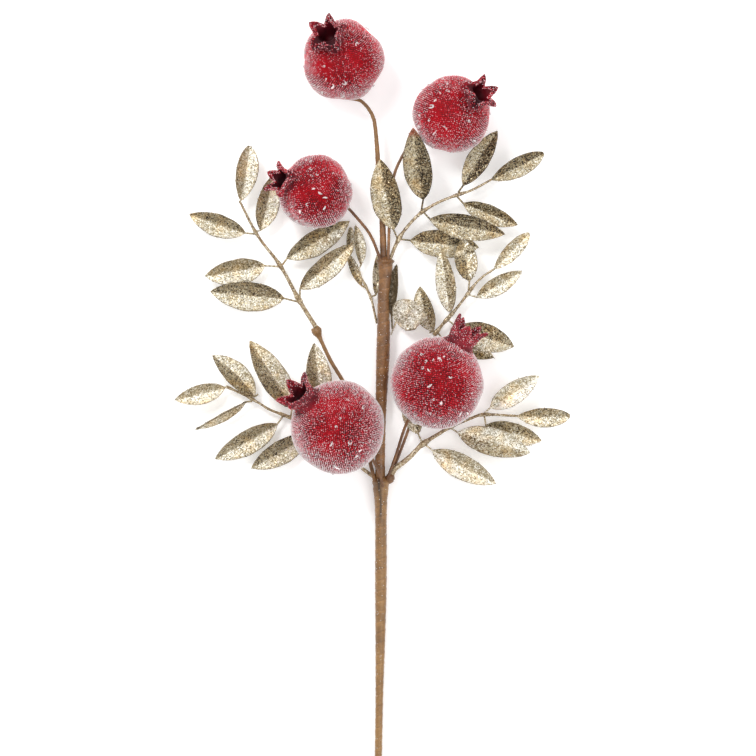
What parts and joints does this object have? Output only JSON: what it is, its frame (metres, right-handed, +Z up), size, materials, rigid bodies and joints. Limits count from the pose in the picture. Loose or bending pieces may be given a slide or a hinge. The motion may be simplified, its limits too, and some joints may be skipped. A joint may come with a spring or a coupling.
{
  "type": "artificial pomegranate spray",
  "caption": "Artificial pomegranate spray with beaded fruits and glittered leaves wired to one paper-taped stem, laid on its back.",
  "frame": {"origin": "middle of the spray's bounding box, on the surface that it lies on", "axes": "+Y along the stem from the cut end towards the top fruit, +Z up from the surface, +X to the right as seen from above"},
  "size_m": [0.3218, 0.6086, 0.0801],
  "materials": {
    "fruit_skin": "deep red foam under clear glass beads",
    "leaf_glitter": "champagne gold glitter on fabric",
    "sprig_stem": "pale gold plastic with glitter crumbs",
    "paper_tape": "waxed brown paper tape wound in a spiral"
  },
  "bodies": {
    "root": {"fruit_left_low": "fruit_skin", "fruit_left_top": "fruit_skin", "fruit_right_low": "fruit_skin", "fruit_right_top": "fruit_skin", "fruit_top": "fruit_skin", "leaf_centre_1": "leaf_glitter", "leaf_centre_2": "leaf_glitter", "leaf_centre_3": "leaf_glitter", "leaf_centre_4": "leaf_glitter", "leaf_left_lower_1": "leaf_glitter", "leaf_left_lower_2": "leaf_glitter", "leaf_left_lower_3": "leaf_glitter", "leaf_left_lower_4": "leaf_glitter", "leaf_left_lower_5": "leaf_glitter", "leaf_left_lower_6": "leaf_glitter", "leaf_left_lower_7": "leaf_glitter", "leaf_left_upper_1": "leaf_glitter", "leaf_left_upper_2": "leaf_glitter", "leaf_left_upper_3": "leaf_glitter", "leaf_left_upper_4": "leaf_glitter", "leaf_left_upper_5": "leaf_glitter", "leaf_left_upper_6": "leaf_glitter", "leaf_left_upper_7": "leaf_glitter", "leaf_right_lower_1": "leaf_glitter", "leaf_right_lower_2": "leaf_glitter", "leaf_right_lower_3": "leaf_glitter", "leaf_right_lower_4": "leaf_glitter", "leaf_right_lower_5": "leaf_glitter", "leaf_right_lower_6": "leaf_glitter", "leaf_right_middle_1": "leaf_glitter", "leaf_right_middle_2": "leaf_glitter", "leaf_right_middle_3": "leaf_glitter", "leaf_right_middle_4": "leaf_glitter", "leaf_right_middle_5": "leaf_glitter", "leaf_right_middle_6": "leaf_glitter", "leaf_right_middle_7": "leaf_glitter", "leaf_right_upper_1": "leaf_glitter", "leaf_right_upper_2": "leaf_glitter", "leaf_right_upper_3": "leaf_glitter", "leaf_right_upper_4": "leaf_glitter", "leaf_right_upper_5": "leaf_glitter", "leaf_right_upper_6": "leaf_glitter", "leaf_right_upper_7": "leaf_glitter", "leaf_stem_1": "leaf_glitter", "leaf_stem_2": "leaf_glitter", "sprig_centre": "sprig_stem", "sprig_left_lower": "sprig_stem", "sprig_left_upper": "sprig_stem", "sprig_right_lower": "sprig_stem", "sprig_right_middle": "sprig_stem", "sprig_right_upper": "sprig_stem", "stem_lower": "paper_tape", "stem_middle": "paper_tape", "stem_upper": "paper_tape", "wire_left_low": "paper_tape", "wire_left_top": "paper_tape", "wire_left_upper": "paper_tape", "wire_right_low": "paper_tape", "wire_right_middle": "paper_tape", "wire_right_top": "paper_tape"}
  },
  "joints": []
}
